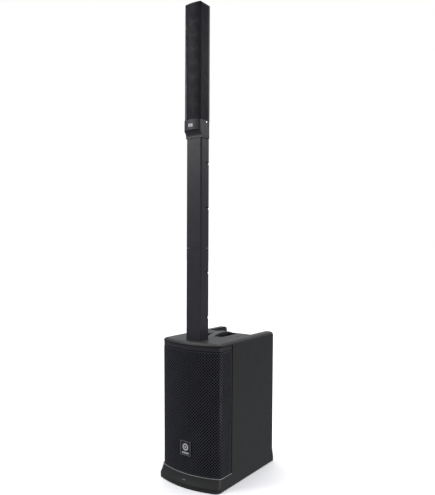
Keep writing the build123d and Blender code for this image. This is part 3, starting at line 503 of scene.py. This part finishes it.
def array_outline(_):
    """Outline of the array grille's outer face, which is the same at every height."""
    return Outline(ARRAY["half"], ARRAY["front"], ARRAY["bow"], ARRAY["corner"],
                   boxes["array_grille"][1].y)


def grilles():
    """Perforated steel sheets in front of the woofer and round the array."""
    low, high = boxes["front_grille"]
    sheet = Perforated(body_outline, low.z, high.z, GRILLE_CELL, GRILLE_HOLE, GRILLE_THICK)
    add_piece("sub_grille_sheet", *sheet.build(), FINISHES["grille_steel"], "sub", "grille_steel",
              ["front_grille"])
    low, high = boxes["array_grille"]
    sheet = Perforated(array_outline, low.z, high.z, ARRAY_CELL, ARRAY_HOLE, ARRAY_THICK)
    add_piece("array_grille_sheet", *sheet.build(), FINISHES["array_mesh_steel"], "array",
              "array_mesh_steel", ["array_grille"])


class Sheet:
    """Thin print, labels or trim gathered on one flat face: u across it, v up it."""

    def __init__(self, origin, across, normal, thick=PRINT_THICK):
        self.origin, self.normal = Vector(origin), Vector(normal).normalized()
        self.across = Vector(across).normalized()
        self.up = self.normal.cross(self.across)
        self.thick = thick
        self.points, self.faces = [], []

    def place(self, u, v, height):
        return tuple(self.origin + self.across * u + self.up * v + self.normal * height)

    def loop(self, outline):
        """Raised convex outline."""
        start, count = len(self.points), len(outline)
        for height in (PRINT_LIFT, PRINT_LIFT + self.thick):
            self.points += [self.place(u, v, height) for u, v in outline]
        self.faces.append([start + count + k for k in range(count)])
        self.faces.append([start + k for k in reversed(range(count))])
        for k in range(count):
            n = (k + 1) % count
            self.faces.append([start + k, start + n, start + count + n, start + count + k])

    def bar(self, u0, v0, u1, v1):
        self.loop([(u0, v0), (u1, v0), (u1, v1), (u0, v1)])

    def border(self, u0, v0, u1, v1, width):
        """Rectangle drawn as a line."""
        self.bar(u0, v0, u1, v0 + width)
        self.bar(u0, v1 - width, u1, v1)
        self.bar(u0, v0 + width, u0 + width, v1 - width)
        self.bar(u1 - width, v0 + width, u1, v1 - width)

    def stroke(self, u0, v0, u1, v1, width):
        """Straight line between two points."""
        run = Vector((u1 - u0, v1 - v0)).normalized() * width / 2
        self.loop([(u0 + run.y, v0 - run.x), (u1 + run.y, v1 - run.x), (u1 - run.y, v1 + run.x),
                   (u0 - run.y, v0 + run.x)])

    def disc(self, u, v, radius, count=20):
        turns = [math.tau * k / count for k in range(count)]
        self.loop([(u + radius * math.cos(t), v + radius * math.sin(t)) for t in turns])

    def ring(self, u, v, radius, width, start=0.0, sweep=math.tau, count=32):
        """Ring, or part of one, from an angle anticlockwise."""
        for k in range(count):
            a, b = (start + sweep * (k + step) / count for step in (0, 1))
            self.loop([(u + r * math.cos(t), v + r * math.sin(t))
                       for r, t in ((radius - width, a), (radius, a), (radius, b), (radius - width, b))])

    def ticks(self, u, v, radius, length, count, width):
        """Even marks round a knob, open at the bottom."""
        for k in range(count):
            angle = math.pi / 2 + SWEEP * (k / (count - 1) - 0.5)
            cos, sin = math.cos(angle), math.sin(angle)
            self.stroke(u + radius * cos, v + radius * sin, u + (radius + length) * cos,
                        v + (radius + length) * sin, width)

    def digit(self, glyph, u, v, height, width):
        """Number built of straight strokes, centred on a point."""
        w, h = height * 0.28, height / 2
        strokes = {"a": (-w, h, w, h), "b": (w, h, w, 0), "c": (w, 0, w, -h), "d": (w, -h, -w, -h),
                   "e": (-w, -h, -w, 0), "f": (-w, 0, -w, h), "g": (-w, 0, w, 0)}
        for letter in GLYPHS[glyph]:
            u0, v0, u1, v1 = strokes[letter]
            self.stroke(u + u0, v + v0, u + u1, v + v1, width)

    def add(self, name, material, body, slot=None):
        return add_piece(name, self.points, self.faces, material, body, slot)


def middle(node):
    """Centre of a CAD node's box."""
    low, high = boxes[node]
    return (low + high) / 2


def input_places():
    """Mouths of the input sockets, in order: the record's bore mounts."""
    return [Vector(mount["pos_m"]) for mount in frame["record"]["mounts"] if mount["kind"] == "bore"]


def front_sheet(node):
    """Sheet on the front face of a plate, with its origin in the middle of the plate."""
    centre = middle(node)
    return Sheet((centre.x, boxes[node][0].y, centre.z), (1, 0, 0), (0, -1, 0))


def badges():
    """Pictogram of a loudspeaker on the grille's plate, and its cone alone on the collar's."""
    low, high = boxes["grille_badge"]
    half_u = (high.x - low.x) / 2 - BADGE_MARGIN
    half_v = (high.z - low.z) / 2 - BADGE_MARGIN
    line = front_sheet("grille_badge")
    line.border(-half_u, -half_v, half_u, half_v, BADGE_BORDER)
    line.add("grille_badge_border", GREY_PRINT, "sub")
    mark = front_sheet("grille_badge")
    mark.ring(0, MARK_RISE, 15.5 * MM, 6.5 * MM)
    mark.disc(0, MARK_RISE, 5 * MM)
    mark.bar(-18 * MM, -23 * MM, 18 * MM, -16.5 * MM)
    mark.add("grille_badge_mark", PALE_PRINT, "sub")
    mark = front_sheet("collar_badge")
    mark.ring(0, 0, 4.6 * MM, 1.5 * MM)
    mark.disc(0, 0, 1.4 * MM)
    mark.add("collar_badge_mark", DARK_PRINT, "array")


def skirt_rim():
    """Rounded edge of the ledge under the grille, where the skirt begins. Its light grey colour is a painted
    highlight, not the cabinet plastic's own colour.
    """
    _, small = BODY_DRAFT[0]
    half = BODY["half"] + small + RIM_SPREAD
    path = Outline(half, BODY["front"] - small - RIM_SPREAD, BODY["bow"], BODY["corner"],
                   boxes["front_grille"][1].y)
    points, faces = [], []
    for k in range(RIM_STEPS + 1):
        x, y, nx, ny = path.at(k / RIM_STEPS)
        for n in range(RIM_SIDES):
            turn = math.tau * n / RIM_SIDES
            out, rise = RIM_RADIUS * math.cos(turn), RIM_RADIUS * math.sin(turn)
            points.append((x + nx * out, y + ny * out, LEDGE_Z - RIM_RADIUS / 2 + rise))
    for k in range(RIM_STEPS):
        for n in range(RIM_SIDES):
            m = (n + 1) % RIM_SIDES
            here, beyond = k * RIM_SIDES, (k + 1) * RIM_SIDES
            faces.append([here + n, beyond + n, beyond + m, here + m])
    faces.append(list(range(RIM_SIDES)))
    faces.append([RIM_STEPS * RIM_SIDES + n for n in reversed(range(RIM_SIDES))])
    # The bead carries the ledge's painted highlight in its light grey colour.
    add_piece("skirt_ledge_highlight_rim", points, faces, PAINTED_HIGHLIGHT_RIM, "sub", "cabinet_plastic")


def slope_sheet(thick=PRINT_THICK):
    """Sheet on the control panel; u runs across it, v up it, from the panel's middle."""
    row = (Vector(joints["knob_2_turn"]["pos_m"]) + Vector(joints["knob_3_turn"]["pos_m"])) / 2
    sheet = Sheet(row, (-1, 0, 0), joints["knob_2_turn"]["axis"], thick)
    sheet.origin -= sheet.up * KNOB_ROW_V
    return sheet


def jack_sheet(thick=PRINT_THICK):
    """Sheet on the jack panel, with its origin level with the input sockets."""
    places = input_places()
    origin = sum(places, Vector()) / len(places)
    origin.y = boxes["rear_panel"][1].y
    return Sheet(origin, (-1, 0, 0), (0, 1, 0), thick)


def spot(sheet, place):
    """Where a point lies on a sheet."""
    offset = Vector(place) - sheet.origin
    return offset.dot(sheet.across), offset.dot(sheet.up)


def control_print():
    """Scales, numbers, group lines and signal lights on the control panel."""
    sheet, lights = slope_sheet(), slope_sheet(LIGHT_THICK)
    for index in CHANNELS:
        u, v = spot(sheet, joints[f"knob_{index}_turn"]["pos_m"])
        sheet.ticks(u, v, TICK_RADIUS, TICK_LENGTH, TICK_COUNT, LINE)
        sheet.digit(str(index), u, v - KNOB_NUMBER_DROP, KNOB_NUMBER, BOLD_LINE)
        rise = v + GROUP_LINE_RISE
        sheet.stroke(u - GROUP_LINE_HALF, rise, u + GROUP_LINE_HALF, rise, FINE_LINE)
        lights.disc(u + LIGHT_OFFSET[0], v + LIGHT_OFFSET[1], LIGHT_RADIUS, 14)
    u, v = spot(sheet, joints["encoder_turn"]["pos_m"])
    sheet.ring(u, v, ENCODER_RING, LINE, ENCODER_RING_START, SWEEP, 48)
    sheet.border(*DISPLAY_GROUP, FINE_LINE)
    sheet.add("control_panel_print", PALE_PRINT, "sub")
    lights.add("signal_lights", GREEN_LIGHT, "sub")


def pointers():
    """Pale line in the slot of every knob, which turns with it."""
    turning = [(f"knob_{index}", KNOB_RADIUS, KNOB_HEIGHT) for index in CHANNELS]
    turning.append(("encoder", ENCODER_RADIUS, ENCODER_HEIGHT))
    for body, radius, height in turning:
        joint = joints[f"{body}_turn"]
        normal = Vector(joint["axis"])
        origin = Vector(joint["pos_m"]) + normal * (height - POINTER_SUNK)
        sheet = Sheet(origin, (-1, 0, 0), normal, POINTER_THICK)
        sheet.bar(-POINTER_HALF, radius * 0.14, POINTER_HALF, radius * 0.8)
        sheet.add(f"{body}_pointer", PALE_PRINT, body)


def display_page():
    """Level bars shown by the control display, amber at their peaks, inside a border."""
    levels, peaks, frame_line = slope_sheet(), slope_sheet(), slope_sheet()
    for sheet in (levels, peaks, frame_line):
        sheet.origin += sheet.normal * DISPLAY_FACE
    u0, v0 = spot(slope_sheet(), middle("display_window"))
    for index, level in enumerate(LEVELS):
        u = u0 + (index - (len(LEVELS) - 1) / 2) * LEVEL_PITCH
        for step in range(level):
            sheet = peaks if step > PEAK_STEP else levels
            v = v0 - LEVEL_FOOT + step * LEVEL_RISE
            sheet.bar(u - LEVEL_HALF, v, u + LEVEL_HALF, v + LEVEL_TALL)
    levels.add("display_levels", BLUE_LIGHT, "sub")
    peaks.add("display_peaks", AMBER_LIGHT, "sub")
    half_u, half_v = DISPLAY_HALF
    frame_line.border(u0 - half_u, v0 - half_v, u0 + half_u, v0 + half_v, FINE_LINE)
    frame_line.add("display_border", GREY_PRINT, "sub")


def button_marks():
    """Raised sign on every key: a dot, a ring, a bar and a square."""
    for index in CHANNELS:
        sheet = slope_sheet()
        u, v = spot(sheet, middle(f"panel_button_{index}"))
        sheet.origin += sheet.normal * KEY_FACE
        if index == 1:
            sheet.disc(u, v, 1.5 * MM)
        elif index == 2:
            sheet.ring(u, v, 2 * MM, LINE)
        elif index == 3:
            sheet.bar(u - 2.5 * MM, v - 0.4 * MM, u + 2.5 * MM, v + 0.4 * MM)
        else:
            sheet.border(u - 1.8 * MM, v - 1.8 * MM, u + 1.8 * MM, v + 1.8 * MM, LINE)
        sheet.add(f"button_{index}_sign", PALE_PRINT, f"button_{index}")


def rocker_marks():
    """Bar and ring on the two ends of the mains rocker, which lies tipped to its off side."""
    sin, cos = math.sin(ROCKER_TILT), math.cos(ROCKER_TILT)
    normal = Vector((sin, cos, 0))
    sheet = Sheet(Vector(joints["rocker_rock"]["pos_m"]) + normal * ROCKER_FACE, (-cos, sin, 0), normal)
    sheet.bar(-5.4 * MM, -1.6 * MM, -4.8 * MM, 1.6 * MM)
    sheet.ring(5.1 * MM, 0, 1.6 * MM, FINE_LINE)
    sheet.add("rocker_marks", PALE_PRINT, "rocker")


def jack_print():
    """Numbers, lines and signs on the jack panel."""
    sheet = jack_sheet()
    for index, place in enumerate(input_places(), start=1):
        u, v = spot(sheet, place)
        sheet.digit(str(index), u + JACK_NUMBER_OFFSET[0], v + JACK_NUMBER_OFFSET[1], JACK_NUMBER,
                    BOLD_LINE)
    u, v = spot(sheet, middle("output_jack"))
    sheet.stroke(u + 17 * MM, v, u + 24 * MM, v, BOLD_LINE)
    sheet.loop([(u + 24 * MM, v - 2.4 * MM), (u + 28 * MM, v), (u + 24 * MM, v + 2.4 * MM)])
    for node, half_u, half_v in (("mini_jacks", 24 * MM, 11 * MM), ("power_inlet", 20 * MM, 16 * MM)):
        u, v = spot(sheet, middle(node))
        sheet.border(u - half_u, v - half_v, u + half_u, v + half_v, FINE_LINE)
    sheet.add("jack_panel_print", PALE_PRINT, "sub")


def jack_trim():
    """Latch tab over every input socket, a bright ring in its phone bore and one in the output."""
    tabs, rings = jack_sheet(LATCH_THICK), jack_sheet(RING_THICK)
    for sheet in (tabs, rings):
        sheet.origin += sheet.normal * JACK_FACE
    for place in input_places():
        u, v = spot(tabs, place)
        tabs.bar(u - LATCH_HALF, v + LATCH_FOOT, u + LATCH_HALF, v + LATCH_FOOT + LATCH_TALL)
        rings.ring(u, v, BORE_RING, RING_WIDTH)
    u, v = spot(tabs, middle("output_jack"))
    rings.ring(u, v, SOCKET_RING, RING_WIDTH)
    tabs.add("jack_latches", FINISHES["screw_steel"], "sub", "screw_steel")
    rings.add("jack_rings", FINISHES["pot_steel"], "sub", "pot_steel")


# ---- camera, floor and lamps --------------------------------------------------------------
def place_camera():
    """Camera at the photograph's angle."""
    sin_yaw, cos_yaw = math.sin(CAMERA_YAW), math.cos(CAMERA_YAW)
    ahead = Vector((-sin_yaw, cos_yaw, 0))
    right = Vector((cos_yaw, sin_yaw, 0))
    level = Vector((0, 0, 1))
    across = right * math.cos(CAMERA_ROLL) + level * math.sin(CAMERA_ROLL)
    up = level * math.cos(CAMERA_ROLL) - right * math.sin(CAMERA_ROLL)
    data = bpy.data.cameras.new("camera")
    data.lens = CAMERA_LENS
    data.sensor_width = CAMERA_SENSOR
    camera = bpy.data.objects.new("camera", data)
    bpy.context.scene.collection.objects.link(camera)
    turned = Matrix((across, up, -ahead)).transposed()
    camera.matrix_world = Matrix.Translation(CAMERA_PLACE) @ turned.to_4x4()
    bpy.context.scene.camera = camera


def lay_floor():
    """Plain pale floor."""
    corners = [(-FLOOR_HALF, -FLOOR_HALF), (FLOOR_HALF, -FLOOR_HALF), (FLOOR_HALF, FLOOR_HALF),
               (-FLOOR_HALF, FLOOR_HALF)]
    mesh = bpy.data.meshes.new("floor")
    mesh.from_pydata([(x, y, cad_box[0].z) for x, y in corners], [], [(0, 1, 2, 3)])
    f = Finish("floor_paper", Specular_IOR_Level=0.1)
    f.drive("Base Color", f.colours(f.noise(0.4, 3.0), (0.93, 0.93, 0.93), (0.96, 0.96, 0.96)))
    f.drive("Roughness", f.spread(f.noise(0.1), 0.85, 0.95))
    mesh.materials.append(f.material)
    floor = bpy.data.objects.new("floor", mesh)
    bpy.context.scene.collection.objects.link(floor)
    floor.visible_diffuse = False
    floor.visible_glossy = False


def add_lamp(name, place, target, width, height, power):
    """Soft rectangular lamp aimed at a point."""
    data = bpy.data.lights.new(name, "AREA")
    data.shape = "RECTANGLE"
    data.size, data.size_y = width, height
    data.energy = power
    lamp = bpy.data.objects.new(name, data)
    bpy.context.scene.collection.objects.link(lamp)
    aim = Vector(target) - Vector(place)
    lamp.matrix_world = Matrix.Translation(place) @ aim.to_track_quat("-Z", "Y").to_matrix().to_4x4()


def light_studio():
    """White surroundings, a large lamp overhead and softer ones at the sides."""
    world = bpy.data.worlds.new("studio")
    world.use_nodes = True
    tree = world.node_tree
    back = tree.nodes["Background"]
    path = tree.nodes.new("ShaderNodeLightPath")
    tint = tree.nodes.new("ShaderNodeMix")
    tint.data_type = "RGBA"
    tint.inputs[MIX_FIRST].default_value = (*WORLD_TINT, 1)
    tint.inputs[MIX_SECOND].default_value = (1, 1, 1, 1)
    tree.links.new(path.outputs["Is Camera Ray"], tint.inputs[0])
    tree.links.new(tint.outputs[MIX_RESULT], back.inputs["Color"])
    level = tree.nodes.new("ShaderNodeMapRange")
    level.inputs["To Min"].default_value = WORLD_LIGHT
    level.inputs["To Max"].default_value = WORLD_SEEN
    tree.links.new(path.outputs["Is Camera Ray"], level.inputs["Value"])
    tree.links.new(level.outputs["Result"], back.inputs["Strength"])
    bpy.context.scene.world = world
    sky = bpy.data.lights.new("overhead", "SUN")
    sky.angle = OVERHEAD_SPREAD
    sky.energy = OVERHEAD_POWER
    overhead = bpy.data.objects.new("overhead", sky)
    overhead.rotation_euler = OVERHEAD_TILT
    bpy.context.scene.collection.objects.link(overhead)
    for name, place, target, width, height, power in LAMPS:
        add_lamp(name, place, target, width, height, power)
    bpy.context.scene.view_settings.view_transform = "Standard"


# ---- the scene ----------------------------------------------------------------------------
place_camera()
lay_floor()
light_studio()
dress_cad()
grilles()
badges()
skirt_rim()
control_print()
pointers()
display_page()
button_marks()
rocker_marks()
jack_print()
jack_trim()
